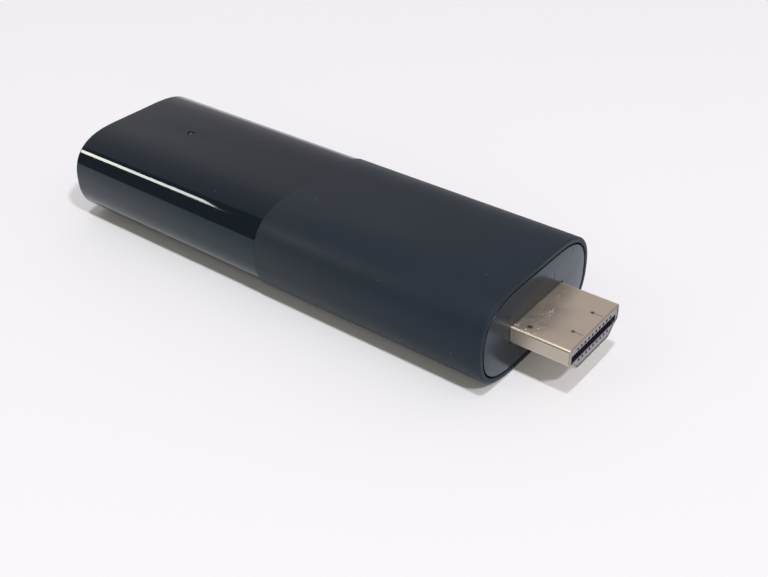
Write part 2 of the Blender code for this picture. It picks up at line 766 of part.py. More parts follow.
def make_power_contacts(materials):
    inset = SOCKET_SHEET + SEAT_GAP
    start_y = socket_front_y() - SOCKET_DEPTH + inset + TONGUE_BASE + SEAT_GAP
    end_y = socket_front_y() - 2 * TONGUE_TIP_GAP
    top_z = tongue_z() - TONGUE_THICKNESS / 2 - SEAT_GAP
    for i in range(POWER_CONTACTS):
        x = SOCKET_X + (i - (POWER_CONTACTS - 1) / 2) * POWER_PITCH
        low = (x - POWER_CONTACT_WIDTH / 2, start_y, top_z - POWER_CONTACT_SHEET)
        high = (x + POWER_CONTACT_WIDTH / 2, end_y, top_z)
        add_box(f"power_contact_{i + 1}", low, high, materials["gold"])


def processor_x():
    return SHIELD_NOSE_X - SHIELDED_GAP - PROCESSOR_SIZE[0] / 2


def make_board_chips(materials):
    top = BOARD_TOP + SOLDER_GAP
    add_block("processor", processor_x(), 0.0, top, PROCESSOR_SIZE, materials["chip"])
    storage_x = SHIELD_TAIL_X + SHIELDED_GAP + STORAGE_SIZE[0] / 2
    add_block("storage_chip", storage_x, 0.0, top, STORAGE_SIZE, materials["chip"])
    make_memory_chips(materials)
    wireless_x = SHIELD_TAIL_X - WIRELESS_GAP - WIRELESS_SIZE[0] / 2
    wireless_y = -WIRELESS_SIZE[1] / 2
    add_block("wireless_module", wireless_x, wireless_y, top, WIRELESS_SIZE, materials["shield_steel"])
    crystal_y = CHIP_GAP + CRYSTAL_SIZE[1] / 2
    add_block("crystal", wireless_x, crystal_y, top, CRYSTAL_SIZE, materials["shield_steel"])
    make_power_parts(top, materials)
    add_block("status_led", WINDOW_X, 0.0, top, STATUS_LED_SIZE, materials["led_resin"], LED_BEVEL)
    make_antenna("antenna_1", -1, materials)
    make_antenna("antenna_2", 1, materials)


def make_memory_chips(materials):
    base = BOARD_BOTTOM - SOLDER_GAP - MEMORY_SIZE[2]
    for i, side in enumerate((-1, 1)):
        x = SHIELD_X + side * (CHIP_GAP + MEMORY_SIZE[0]) / 2
        add_block(f"memory_chip_{i + 1}", x, 0.0, base, MEMORY_SIZE, materials["chip"])


def make_power_parts(top, materials):
    """The regulator and its inductors lie across the board from the socket's capacitors."""
    inductor_y = -CHIP_GAP - INDUCTOR_SIZE[1] / 2
    regulator_y = inductor_y - INDUCTOR_SIZE[1] / 2 - CHIP_GAP - REGULATOR_SIZE[1] / 2
    capacitor_y = CHIP_GAP + CAPACITOR_SIZE[1] / 2
    add_block("power_regulator", SOCKET_X, regulator_y, top, REGULATOR_SIZE, materials["chip"])
    for i, side in enumerate((-1, 1)):
        x = SOCKET_X + side * (CHIP_GAP + INDUCTOR_SIZE[0]) / 2
        add_block(f"inductor_{i + 1}", x, inductor_y, top, INDUCTOR_SIZE, materials["ferrite"])
        x = SOCKET_X + side * (CHIP_GAP + CAPACITOR_SIZE[0]) / 2
        add_block(f"capacitor_{i + 1}", x, capacitor_y, top, CAPACITOR_SIZE, materials["ceramic"])


def make_antenna(name, side, materials):
    """A folded strip: a foot on the board, a riser, and a radiating arm above the foot."""
    foot_z = BOARD_TOP + SOLDER_GAP
    arm_z = foot_z + ANTENNA_HEIGHT
    outer_y = side * (board_half_width() - ANTENNA_EDGE_GAP)
    inner_y = side * ANTENNA_CENTRE_GAP
    turned = inner_y + side * ANTENNA_SHEET
    foot_y = inner_y + side * ANTENNA_FOOT
    outline = [
        (foot_y, foot_z),
        (inner_y, foot_z),
        (inner_y, arm_z),
        (outer_y, arm_z),
        (outer_y, arm_z - ANTENNA_SHEET),
        (turned, arm_z - ANTENNA_SHEET),
        (turned, foot_z + ANTENNA_SHEET),
        (foot_y, foot_z + ANTENNA_SHEET),
    ]
    start = BOARD_TAIL_X + ANTENNA_EDGE_GAP
    return add_prism(name, outline, "X", start, start + ANTENNA_WIDTH, materials["gold"])


# Shields, pads and heat spreaders.

def rectangle_ring(z, half_length, half_width, inset):
    length, width = half_length - inset, half_width - inset
    corners = ((-1, -1), (1, -1), (1, 1), (-1, 1))
    return [(SHIELD_X + a * length, b * width, z) for a, b in corners]


def make_upper_shield(materials):
    """A soldered frame round the chips, and a lid that clips over it."""
    half_length, half_width = SHIELD_LENGTH / 2, shield_half_width()
    base = BOARD_TOP + SOLDER_GAP
    top = base + UPPER_SHIELD_HEIGHT
    flange = 4 * SHIELD_SHEET
    frame = [
        rectangle_ring(base, half_length, half_width, 0.0),
        rectangle_ring(top, half_length, half_width, 0.0),
        rectangle_ring(top, half_length, half_width, flange),
        rectangle_ring(top - SHIELD_SHEET, half_length, half_width, flange),
        rectangle_ring(top - SHIELD_SHEET, half_length, half_width, SHIELD_SHEET),
        rectangle_ring(base, half_length, half_width, SHIELD_SHEET),
    ]
    add_rings("upper_shield_frame", frame, materials["shield_steel"], capped=False)
    inner = -LID_GAP
    outer = inner - SHIELD_SHEET
    under = top + LID_GAP
    lid = [
        rectangle_ring(under, half_length, half_width, inner),
        rectangle_ring(top - LID_SKIRT, half_length, half_width, inner),
        rectangle_ring(top - LID_SKIRT, half_length, half_width, outer),
        rectangle_ring(under + SHIELD_SHEET, half_length, half_width, outer),
    ]
    add_rings("upper_shield_lid", lid, materials["shield_steel"], capped=True)
    return under + SHIELD_SHEET


def make_processor_pad(materials):
    """Gap filler between the processor and the underside of the shield's lid."""
    length, width, height = PROCESSOR_SIZE
    base = BOARD_TOP + SOLDER_GAP + height + SEAT_GAP
    top = BOARD_TOP + SOLDER_GAP + UPPER_SHIELD_HEIGHT + LID_GAP - SEAT_GAP
    size = (length - 2 * PROCESSOR_PAD_MARGIN, width - 2 * PROCESSOR_PAD_MARGIN, top - base)
    add_block("processor_pad", processor_x(), 0.0, base, size, materials["thermal_pad"], PAD_BEVEL)


def make_lower_shield(materials):
    """A one-piece can over the memory chips under the board."""
    half_length, half_width = SHIELD_LENGTH / 2, shield_half_width()
    rim = BOARD_BOTTOM - SOLDER_GAP
    floor = rim - LOWER_SHIELD_HEIGHT
    can = [
        rectangle_ring(floor + SHIELD_SHEET, half_length, half_width, SHIELD_SHEET),
        rectangle_ring(rim, half_length, half_width, SHIELD_SHEET),
        rectangle_ring(rim, half_length, half_width, 0.0),
        rectangle_ring(floor, half_length, half_width, 0.0),
    ]
    add_rings("lower_shield_can", can, materials["shield_steel"], capped=True)
    return floor


def make_heat_path(materials):
    """Each spreader hangs clear of the spigot, and its pad fills the room to the shield."""
    lid_top = make_upper_shield(materials)
    make_processor_pad(materials)
    can_floor = make_lower_shield(materials)
    clear = SPIGOT_INNER + SPREADER_ROOF_GAP
    upper_base = BODY_HEIGHT - clear - SPREADER_FLANGE
    make_upper_spreader(upper_base, materials)
    make_heat_pad("upper_heat_pad", lid_top + SEAT_GAP, upper_base - SEAT_GAP, materials)
    lower_top = clear + LOWER_SPREADER_THICKNESS
    spreader_size = (SHIELD_LENGTH, 2 * spreader_half_width(), LOWER_SPREADER_THICKNESS)
    add_block("lower_heat_spreader", SHIELD_X, 0.0, clear, spreader_size, materials["aluminium"])
    make_heat_pad("lower_heat_pad", lower_top + SEAT_GAP, can_floor - SEAT_GAP, materials)


def make_heat_pad(name, bottom, top, materials):
    length = SHIELD_LENGTH - 2 * PAD_MARGIN
    width = 2 * (shield_half_width() - PAD_MARGIN)
    add_block(name, SHIELD_X, 0.0, bottom, (length, width, top - bottom), materials["thermal_pad"], PAD_BEVEL)


def make_upper_spreader(base, materials):
    """An aluminium plate under the shell's roof, with its two long edges turned up."""
    half = spreader_half_width()
    flange = SPREADER_THICKNESS
    top = base + SPREADER_THICKNESS
    rim = base + SPREADER_FLANGE
    outline = [
        (-half, base),
        (half, base),
        (half, rim),
        (half - flange, rim),
        (half - flange, top),
        (flange - half, top),
        (flange - half, rim),
        (-half, rim),
    ]
    start = SHIELD_X - SPREADER_LENGTH / 2
    end = SHIELD_X + SPREADER_LENGTH / 2
    return add_prism("upper_heat_spreader", outline, "X", start, end, materials["aluminium"], PAD_BEVEL)


def main():
    for obj in list(bpy.data.objects):
        bpy.data.objects.remove(obj, do_unlink=True)
    materials = make_materials()
    make_front_shell(materials)
    make_tail_shell(materials)
    make_end_plate(materials)
    make_light_pipe(materials)
    make_plug_shell(materials)
    make_plug_insulator(materials)
    make_plug_contacts(materials)
    make_main_board(materials)
    make_power_socket(materials)
    make_board_chips(materials)
    make_heat_path(materials)


main()
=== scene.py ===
"""Looks of the streaming media player stick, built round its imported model.

Metres, +Z up, origin at the bottom centre. +X runs to the tip of the plug.
"""

import json
from math import cos, hypot, pi, radians, sin

import bmesh
import bpy
from mathutils import Matrix, Vector


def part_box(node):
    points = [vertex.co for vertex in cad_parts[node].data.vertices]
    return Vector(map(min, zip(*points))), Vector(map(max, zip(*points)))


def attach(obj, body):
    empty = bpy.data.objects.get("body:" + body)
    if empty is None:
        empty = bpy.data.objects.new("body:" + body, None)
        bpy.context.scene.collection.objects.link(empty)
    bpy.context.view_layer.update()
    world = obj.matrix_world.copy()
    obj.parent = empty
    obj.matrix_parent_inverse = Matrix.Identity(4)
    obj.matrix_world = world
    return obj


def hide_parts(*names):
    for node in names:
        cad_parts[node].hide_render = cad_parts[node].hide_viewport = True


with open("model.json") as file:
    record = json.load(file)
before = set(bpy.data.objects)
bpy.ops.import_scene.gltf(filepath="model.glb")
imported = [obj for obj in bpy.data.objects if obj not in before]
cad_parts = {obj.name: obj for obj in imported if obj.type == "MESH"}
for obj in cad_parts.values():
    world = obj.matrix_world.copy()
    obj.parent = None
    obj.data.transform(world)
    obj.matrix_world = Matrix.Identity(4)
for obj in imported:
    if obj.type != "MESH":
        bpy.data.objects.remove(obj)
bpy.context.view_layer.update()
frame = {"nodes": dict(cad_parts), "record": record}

MM = 0.001
SHARP_ANGLE = radians(35)

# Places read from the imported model.
FRONT_LOW, FRONT_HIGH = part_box("front_shell")
TAIL_LOW, TAIL_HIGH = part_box("tail_shell")
PLUG_LOW, PLUG_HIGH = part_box("plug_shell")
CORE_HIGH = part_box("plug_insulator")[1]
PIPE_LOW, PIPE_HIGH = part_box("light_pipe")
SOCKET_LOW, SOCKET_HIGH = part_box("power_socket_shell")
BOARD_LOW, BOARD_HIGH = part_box("main_board")

# The room: dim behind the viewer and pale beyond the stick, with a soft step between them.
BRIGHT_WAY = (0.0, 1.0, 0.0)
DUSK_FROM = -0.275
DUSK_TO = -0.225
DIM_WALL = (0.130, 0.146, 0.112)
PALE_WALL = (0.485, 0.445, 0.450)
FLOOR_SIZE = 4.0
LAMP_SIZE = 0.17
LAMP_DISTANCE = 2.5
DAYLIGHT_PLACE = (-1.201, -0.670, 0.814)
DAYLIGHT_LENGTH = 0.367
DAYLIGHT_WIDTH = 0.165
DAYLIGHT_ALONG = (0.655, -0.2825, 0.701)
WALL_DISTANCE = 1.8

# The camera.
CAMERA_PLACE = (0.09741, -0.11055, 0.09735)
CAMERA_FORWARD = (-0.5124, 0.6436, -0.5685)
CAMERA_RIGHT = (0.7893, 0.6138, -0.0166)
CAMERA_LENS = 50.84
CAMERA_SENSOR = 36.0
CAMERA_NEAREST = 0.005

# The tube.
BODY_WIDTH = FRONT_HIGH.y - FRONT_LOW.y
BODY_HEIGHT = FRONT_HIGH.z - FRONT_LOW.z
BODY_STEPS = 40
MIDDLE_Z = BODY_HEIGHT / 2
FLAT_HALF_WIDTH = 4.0 * MM
SIDE_EXPONENT = 2.8
CROWN_EXPONENT = 2.48
WALL = 1.2 * MM
TAIL_X = TAIL_LOW.x
PARTING_X = FRONT_LOW.x
NOSE_X = FRONT_HIGH.x
SPIGOT_END_X = TAIL_HIGH.x
TAIL_STEP = TAIL_LOW.z
SEAM_GAP = 0.1 * MM
SPIGOT_CLEARANCE = 0.1 * MM
SPIGOT_WALL = 0.9 * MM
TAIL_FILLET = 0.45 * MM
NOSE_FILLET = 0.32 * MM
PARTING_EDGE = 0.06 * MM
RIM_WALL = 0.85 * MM
RIM_INNER_EDGE = 0.08 * MM
PLATE_GAP = 0.24 * MM
PLATE_EDGE = 0.14 * MM
PLATE_THICKNESS = 1.4 * MM
PLATE_REAR_X = NOSE_X - PLATE_THICKNESS
SEAT_GAP = 0.05 * MM
LEDGE_LENGTH = 1.3 * MM
LEDGE_X = PLATE_REAR_X - SEAT_GAP
LEDGE_REAR_X = LEDGE_X - LEDGE_LENGTH
LEDGE_WALL = 1.9 * MM
HOOK_THICKNESS = 0.8 * MM
HOOK_BARB = 0.5 * MM
HOOK_CLEARANCE = 0.12 * MM
HOOK_WIDTH = 5.0 * MM
HOOK_ROOT = 0.7 * MM
RAIL_HEIGHT = 1.1 * MM
RAIL_OVERLAP = 0.9 * MM
RAIL_END_GAP = 1.5 * MM

# The plug.
TIP_X = PLUG_HIGH.x
PLUG_REAR_X = PLUG_LOW.x
PLUG_WIDTH = PLUG_HIGH.y - PLUG_LOW.y
PLUG_HEIGHT = PLUG_HIGH.z - PLUG_LOW.z
PLUG_Z = (PLUG_HIGH.z + PLUG_LOW.z) / 2
PLUG_SHEET = 0.3 * MM
PLUG_WALL_DROP = 2.575 * MM
PLUG_NOTCH = 1.05 * MM
PLUG_NOTCH_DROP = 0.45 * MM
PLUG_SLOPE_RUN = 1.35 * MM
PLUG_CORNER = 0.45 * MM
PLUG_LIP = 0.16 * MM
KEY_HOLE_RADIUS = 0.3 * MM
KEY_SLIT_WIDTH = 0.1 * MM
KEY_HOLE_FROM_TIP = 2.0 * MM
KEY_SLIT_END = 0.45 * MM
KEY_HOLE_OFFSET = 2.7 * MM
PLATE_CUT_GAP = 0.2 * MM
# The slot's centre, and the half-height of the band inside it that is painted with shade.
SLOT_Z = PLUG_Z + 0.15 * MM
SLOT_SHADE_REACH = 1.35 * MM
WEAR_SPOT = (NOSE_X + 2.1 * MM, -5.3 * MM, PLUG_HIGH.z)

# Shallow upright lines moulded in the end plate: place across, lower end and upper end.
MOULD_TICKS = ((4.5 * MM, 10.2 * MM, 11.6 * MM), (9.4 * MM, 12.3 * MM, 13.1 * MM))
TICK_DEPTH = 0.10 * MM
TICK_HALF_WIDTH = 0.05 * MM

# The status window.
WINDOW_X = (PIPE_HIGH.x + PIPE_LOW.x) / 2
WINDOW_RADIUS = 0.56 * MM
WINDOW_CHAMFER = 0.04 * MM
PIPE_TIP_RADIUS = 0.37 * MM
PIPE_STEM_RADIUS = 1.1 * MM
PIPE_FLANGE_RADIUS = 1.8 * MM
PIPE_FLANGE_HEIGHT = 0.7 * MM
PIPE_FLANGE_DROP = 1.2 * MM
PIPE_CROWN = 0.08 * MM

# The power socket.
SOCKET_SHEET = 0.25 * MM
SOCKET_CHAMFER = 0.8 * MM
SOCKET_MOUTH_GAP = 0.5 * MM
SOCKET_MOUTH_CORNER = 0.5 * MM
SOCKET_CORNER = 0.3 * MM


# Node materials.

COOL_SHEEN = (0.53, 0.78, 1.0)

# The sockets of a colour Mix node, which has several of the same name.
MIX_SHARE, MIX_FIRST, MIX_SECOND, MIX_RESULT = 0, 6, 7, 2


class Graph:
    """A material's nodes, added one call at a time. A value that is a socket is linked."""

    def __init__(self, name):
        self.material = bpy.data.materials.new(name)
        self.material.use_nodes = True
        self.tree = self.material.node_tree
        self.tree.nodes.clear()
        self.place = self.add("ShaderNodeTexCoord").outputs["Object"]

    def add(self, kind, inputs=None, **settings):
        node = self.tree.nodes.new(kind)
        for key, value in settings.items():
            setattr(node, key, value)
        for key, value in (inputs or {}).items():
            self.put(node.inputs[key], value)
        return node

    def put(self, socket, value):
        if isinstance(value, bpy.types.NodeSocket):
            self.tree.links.new(value, socket)
        else:
            socket.default_value = value

    def noise(self, scale, detail=2.0, rough=0.5, stretch=None, distortion=0.0):
        where = self.stretched(stretch) if stretch else self.place
        settings = {"Vector": where, "Scale": scale, "Detail": detail, "Roughness": rough}
        return self.add("ShaderNodeTexNoise", {**settings, "Distortion": distortion}).outputs["Fac"]

    def cells(self, scale, feature="F1", stretch=None):
        where = self.stretched(stretch) if stretch else self.place
        settings = {"Vector": where, "Scale": scale}
        return self.add("ShaderNodeTexVoronoi", settings, feature=feature).outputs["Distance"]

    def stretched(self, factors):
        return self.add("ShaderNodeMapping", {"Vector": self.place, "Scale": factors}).outputs["Vector"]

    def math(self, operation, first, second=0.0, third=0.0):
        node = self.add("ShaderNodeMath", operation=operation)
        for socket, value in zip(node.inputs, (first, second, third)):
            self.put(socket, value)
        return node.outputs[0]

    def remap(self, value, low, high, to_low=0.0, to_high=1.0):
        """A straight line from one range to another, held level outside it."""
        inputs = {"Value": value, "From Min": low, "From Max": high}
        outcome = {"To Min": to_low, "To Max": to_high}
        return self.add("ShaderNodeMapRange", {**inputs, **outcome}).outputs["Result"]

    def mix(self, share, first, second):
        node = self.add("ShaderNodeMix", data_type="RGBA")
        self.put(node.inputs[MIX_SHARE], share)
        for index, colour in ((MIX_FIRST, first), (MIX_SECOND, second)):
            varies = isinstance(colour, bpy.types.NodeSocket)
            self.put(node.inputs[index], colour if varies else (*colour, 1.0))
        return node.outputs[MIX_RESULT]

    def axis(self, name):
        return self.add("ShaderNodeSeparateXYZ", {"Vector": self.place}).outputs[name]

    def bump(self, height, distance, strength=1.0, normal=None):
        inputs = {"Height": height, "Distance": distance, "Strength": strength}
        if normal:
            inputs["Normal"] = normal
        return self.add("ShaderNodeBump", inputs).outputs["Normal"]

    def finish(self, **sockets):
        """Ends in a Principled shader. Socket names are given with _ for a space."""
        shader = self.add("ShaderNodeBsdfPrincipled")
        for key, value in sockets.items():
            if key in ("Base_Color", "Specular_Tint") and not isinstance(value, bpy.types.NodeSocket):
                value = (*value, 1.0)
            self.put(shader.inputs[key.replace("_", " ")], value)
        output = self.add("ShaderNodeOutputMaterial")
        self.tree.links.new(shader.outputs[0], output.inputs["Surface"])
        return self.material


def specks(graph, scale, size, share):
    """A mask of small scattered dots: 1 on a dot. Only a share of the cells holds one."""
    settings = {"Vector": graph.place, "Scale": scale}
    cells = graph.add("ShaderNodeTexVoronoi", settings)
    dot = graph.remap(cells.outputs["Distance"], size, size * 0.6)
    value = graph.add("ShaderNodeSeparateColor", {"Color": cells.outputs["Color"]}).outputs[0]
    kept = graph.math("LESS_THAN", value, share)
    return graph.math("MULTIPLY", dot, kept)


def matte_plastic(name, dark, light, roughness, sheen, grain=0.000004):
    """Spark-eroded moulded plastic: a fine grain, faint clouds and a few specks of dust."""
    graph = Graph(name)
    clouds = graph.noise(70.0, 4.0, 0.6)
    colour = graph.mix(graph.remap(clouds, 0.3, 0.7), dark, light)
    dots = specks(graph, 900.0, 0.12, 0.015)
    colour = graph.mix(graph.math("MULTIPLY", dots, 0.5), colour, (0.35, 0.36, 0.37))
    smudge = graph.noise(28.0, 3.0, 0.55, distortion=0.6)
    rough = graph.remap(smudge, 0.25, 0.75, roughness - 0.05, roughness + 0.05)
    fine = graph.noise(9000.0, 2.0, 0.6)
    return graph.finish(
        Base_Color=colour,
        Roughness=rough,
        Normal=graph.bump(fine, grain),
        Specular_IOR_Level=sheen,
        Specular_Tint=COOL_SHEEN,
    )


def gloss_plastic(name, dark, light, roughness):
    """Polished moulded plastic: nearly smooth, with faint smears, hairlines and dust."""
    graph = Graph(name)
    clouds = graph.noise(45.0, 3.0, 0.5)
    colour = graph.mix(clouds, dark, light)
    dots = specks(graph, 1100.0, 0.10, 0.02)
    colour = graph.mix(graph.math("MULTIPLY", dots, 0.4), colour, (0.25, 0.26, 0.27))
    smear = graph.noise(60.0, 4.0, 0.6, stretch=(0.35, 1.0, 1.0), distortion=0.8)
    rough = graph.remap(smear, 0.35, 0.75, roughness, roughness + 0.06)
    hair = graph.cells(900.0, "DISTANCE_TO_EDGE", stretch=(0.06, 1.0, 1.0))
    hair = graph.remap(hair, 0.0, 0.02, 1.0, 0.0)
    ripple = graph.noise(160.0, 2.0, 0.5)
    normal = graph.bump(ripple, 0.0000025)
    normal = graph.bump(hair, 0.000001, 0.4, normal)
    return graph.finish(
        Base_Color=colour,
        Roughness=rough,
        Normal=normal,
        Specular_IOR_Level=0.44,
        Specular_Tint=COOL_SHEEN,
    )


def plated_metal(name, dark, light, roughness, wear_from, wear_to):
    """Plated sheet: warm and rubbed along X, nicked and blotchy darker near its root, with a painted
    glint on the nicks and painted shade on the side walls and at the mouth.
    """
    graph = Graph(name)
    clouds = graph.noise(160.0, 3.0, 0.5)
    colour = graph.mix(graph.remap(clouds, 0.3, 0.7), dark, light)
    lines = graph.noise(2600.0, 2.0, 0.5, stretch=(0.02, 1.0, 1.0))
    dull = graph.noise(300.0, 3.0, 0.6)
    worn = graph.remap(graph.axis("X"), wear_to, wear_from)
    nicks = specks(graph, 2300.0, 0.38, 0.45)
    patch = graph.remap(graph.noise(420.0, 2.0), 0.50, 0.62)
    apart = graph.add("ShaderNodeVectorMath", {0: graph.place, 1: WEAR_SPOT}, operation="DISTANCE")
    apart = apart.outputs["Value"]
    patch = graph.math("MAXIMUM", patch, graph.remap(apart, 2.6 * MM, 1.4 * MM))
    hair = graph.noise(700.0, 1.0, 0.4, stretch=(1.0, 0.35, 1.0))
    hair = graph.math("ABSOLUTE", graph.math("SUBTRACT", hair, 0.5))
    hair = graph.remap(hair, 0.0, 0.009, 1.0, 0.0)
    marks = graph.math("MAXIMUM", nicks, graph.math("MULTIPLY", hair, 0.55))
    marks = graph.math("MULTIPLY", graph.math("MULTIPLY", marks, patch), worn)
    # The nicks and hairlines are real wear; their near-white colour is in part a painted glint.
    colour = graph.mix(marks, colour, (1.0, 0.98, 0.93))
    # Blotchy darker colour towards the root.
    root_darkening = graph.math("MULTIPLY", graph.remap(dull, 0.50, 0.72), graph.math("MULTIPLY", worn, 0.22))
    colour = graph.mix(root_darkening, colour, (0.30, 0.27, 0.21))
    spot = graph.remap(graph.math("MULTIPLY_ADD", dull, 0.4 * MM, apart), 0.72 * MM, 0.46 * MM)
    colour = graph.mix(graph.math("MULTIPLY", spot, 0.88), colour, (0.10, 0.08, 0.06))
    rough = graph.remap(dull, 0.3, 0.75, roughness - 0.04, roughness + 0.06)
    rough = graph.math("MULTIPLY_ADD", marks, 0.18, rough)
    rough = graph.math("MULTIPLY_ADD", worn, 0.08, rough)
    across = graph.math("ABSOLUTE", graph.axis("Y"))
    # Painted shade: the side walls are coloured darker and browner than the top.
    wall = graph.remap(across, PLUG_WIDTH / 2 - 0.12 * MM, PLUG_WIDTH / 2 - 0.03 * MM)
    colour = graph.mix(graph.math("MULTIPLY", wall, 0.85), colour, (0.46, 0.405, 0.345))
    side = graph.remap(across, PLUG_WIDTH / 2 - 0.50 * MM, PLUG_WIDTH / 2 - 0.34 * MM)
    crest = graph.remap(graph.axis("Z"), PLUG_HIGH.z - 0.16 * MM, PLUG_HIGH.z - 0.08 * MM)
    rough = graph.math("MULTIPLY_ADD", graph.math("MULTIPLY", side, crest), 0.17, rough)
    # Painted shade: the last 0.1 to 0.16 mm of sheet at the mouth is coloured dark.
    mouth = graph.remap(graph.axis("X"), TIP_X - 0.16 * MM, TIP_X - 0.10 * MM)
    colour = graph.mix(graph.math("MULTIPLY", mouth, 0.75), colour, (0.24, 0.21, 0.20))
    normal = graph.bump(lines, 0.0000016)
    normal = graph.bump(marks, 0.000030, 0.8, normal)
    return graph.finish(Base_Color=colour, Metallic=1.0, Roughness=rough, Normal=normal)


def plain_metal(name, dark, light, roughness, scale=300.0):
    """Rolled or plated sheet, with faint lines along X."""
    graph = Graph(name)
    clouds = graph.noise(scale, 4.0, 0.6)
    colour = graph.mix(clouds, dark, light)
    rough = graph.remap(graph.noise(scale * 2, 3.0), 0.3, 0.7, roughness - 0.05, roughness + 0.08)
    rolled = graph.noise(scale * 8, 2.0, 0.5, stretch=(0.05, 1.0, 1.0))
    normal = graph.bump(rolled, 0.000002)
    return graph.finish(Base_Color=colour, Metallic=1.0, Roughness=rough, Normal=normal)


def board_laminate(name):
    """Solder mask over copper: darker between the tracks, which stand a little proud."""
    graph = Graph(name)
    bricks = {"Scale": 900.0, "Mortar Size": 0.12, "Brick Width": 3.0, "Row Height": 0.5}
    tracks = graph.add("ShaderNodeTexBrick", {"Vector": graph.place, **bricks}).outputs["Fac"]
    vias = specks(graph, 700.0, 0.14, 0.3)
    colour = graph.mix(tracks, (0.020, 0.085, 0.070), (0.008, 0.045, 0.040))
    colour = graph.mix(vias, colour, (0.45, 0.34, 0.14))
    normal = graph.bump(tracks, 0.00002)
    return graph.finish(Base_Color=colour, Roughness=0.42, Normal=normal, Coat_Weight=0.3)


def chip_package(name, dark, light):
    """Moulded epoxy: matt and fine-grained."""
    graph = Graph(name)
    grain = graph.noise(4200.0, 3.0, 0.6)
    colour = graph.mix(grain, dark, light)
    rough = graph.remap(graph.noise(150.0), 0.3, 0.7, 0.5, 0.66)
    return graph.finish(Base_Color=colour, Roughness=rough, Normal=graph.bump(grain, 0.000012))


def insulator_plastic(name):
    """Pale and smooth on the face at the mouth, with painted shade inside the slot and channels."""
    graph = Graph(name)
    grain = graph.noise(3000.0, 3.0, 0.6)
    face = graph.mix(grain, (0.20, 0.19, 0.215), (0.29, 0.275, 0.30))
    # Painted shade: the moulding is coloured dark brown more than 0.5 mm behind its face, and nearly
    # black inside the slot.
    behind = graph.remap(graph.axis("X"), CORE_HIGH.x - 0.03 * MM, CORE_HIGH.x - 0.09 * MM)
    height = graph.math("ABSOLUTE", graph.math("SUBTRACT", graph.axis("Z"), SLOT_Z))
    slot_shade = graph.math("MULTIPLY", behind, graph.math("LESS_THAN", height, SLOT_SHADE_REACH))
    depth_shade = graph.remap(graph.axis("X"), CORE_HIGH.x - 0.5 * MM, CORE_HIGH.x - 0.6 * MM)
    colour = graph.mix(depth_shade, face, (0.13, 0.115, 0.095))
    colour = graph.mix(slot_shade, colour, (0.014, 0.022, 0.034))
    rough = graph.remap(grain, 0.3, 0.7, 0.34, 0.46)
    return graph.finish(Base_Color=colour, Roughness=rough, Normal=graph.bump(grain, 0.000003))


def soft_pad(name, dark, light):
    """Filled gel or resin: dull, cloudy and slightly dimpled."""
    graph = Graph(name)
    filler = graph.noise(2600.0, 4.0, 0.7)
    colour = graph.mix(filler, dark, light)
    weave = graph.cells(1400.0)
    rough = graph.remap(filler, 0.3, 0.7, 0.7, 0.85)
    return graph.finish(Base_Color=colour, Roughness=rough, Normal=graph.bump(weave, 0.00003))


def clear_moulding(name):
    """A light guide that is unlit: dark, with a hazy skin."""
    graph = Graph(name)
    haze = graph.noise(900.0, 3.0, 0.6)
    colour = graph.mix(haze, (0.030, 0.034, 0.040), (0.055, 0.060, 0.070))
    rough = graph.remap(haze, 0.3, 0.7, 0.18, 0.30)
    normal = graph.bump(haze, 0.000003)
    return graph.finish(Base_Color=colour, Roughness=rough, Normal=normal, Coat_Weight=0.2)


def floor_surface(name):
    """White table top with the faintest clouds."""
    graph = Graph(name)
    clouds = graph.noise(3.0, 3.0, 0.5)
    colour = graph.mix(clouds, (0.865, 0.868, 0.905), (0.885, 0.888, 0.925))
    grain = graph.noise(2200.0, 2.0, 0.5)
    return graph.finish(Base_Color=colour, Roughness=0.6, Normal=graph.bump(grain, 0.000004))


# Meshes.

def add_mesh(name, build, material):
    """A new object whose mesh `build` fills, shaded smooth except at its sharp edges."""
    shape = bmesh.new()
    build(shape)
    bmesh.ops.recalc_face_normals(shape, faces=shape.faces)
    mesh = bpy.data.meshes.new(name)
    shape.to_mesh(mesh)
    shape.free()
    mesh.shade_smooth()
    mesh.set_sharp_from_angle(angle=SHARP_ANGLE)
    if material:
        mesh.materials.append(material)
    obj = bpy.data.objects.new(name, mesh)
    bpy.context.scene.collection.objects.link(obj)
    return obj


def add_rings(name, rings, material, capped):
    """A skin over rings of equal length: capped at both ends, or closed into a sleeve."""

    def build(shape):
        loops = [[shape.verts.new(point) for point in ring] for ring in rings]
        pairs = list(zip(loops, loops[1:]))
        if capped:
            shape.faces.new(loops[0])
            shape.faces.new(loops[-1])
        else:
            pairs.append((loops[-1], loops[0]))
        for first, second in pairs:
            for i in range(len(first)):
                j = (i + 1) % len(first)
                shape.faces.new((first[i], first[j], second[j], second[i]))

    return add_mesh(name, build, material)


def apply_boolean(target, tool, operation="DIFFERENCE"):
    """Cuts or joins now, and removes the tool, so that nothing but the result is left."""
    modifier = target.modifiers.new("work", "BOOLEAN")
    modifier.operation = operation
    modifier.object = tool
    graph = bpy.context.evaluated_depsgraph_get()
    result = bpy.data.meshes.new_from_object(target.evaluated_get(graph))
    target.modifiers.clear()
    old = target.data
    target.data = result
    bpy.data.meshes.remove(old)
    result.shade_smooth()
    result.set_sharp_from_angle(angle=SHARP_ANGLE)
    bpy.data.objects.remove(tool, do_unlink=True)


def add_prism(name, outline, axis, start, end, material):
    """The outline swept along one axis. Its points are given in the other two, in order."""

    def place(point, depth):
        first, second = point
        along = {"X": (depth, first, second), "Y": (first, depth, second), "Z": (first, second, depth)}
        return along[axis]

    rings = [[place(point, depth) for point in outline] for depth in (start, end)]
    return add_rings(name, rings, material, capped=True)


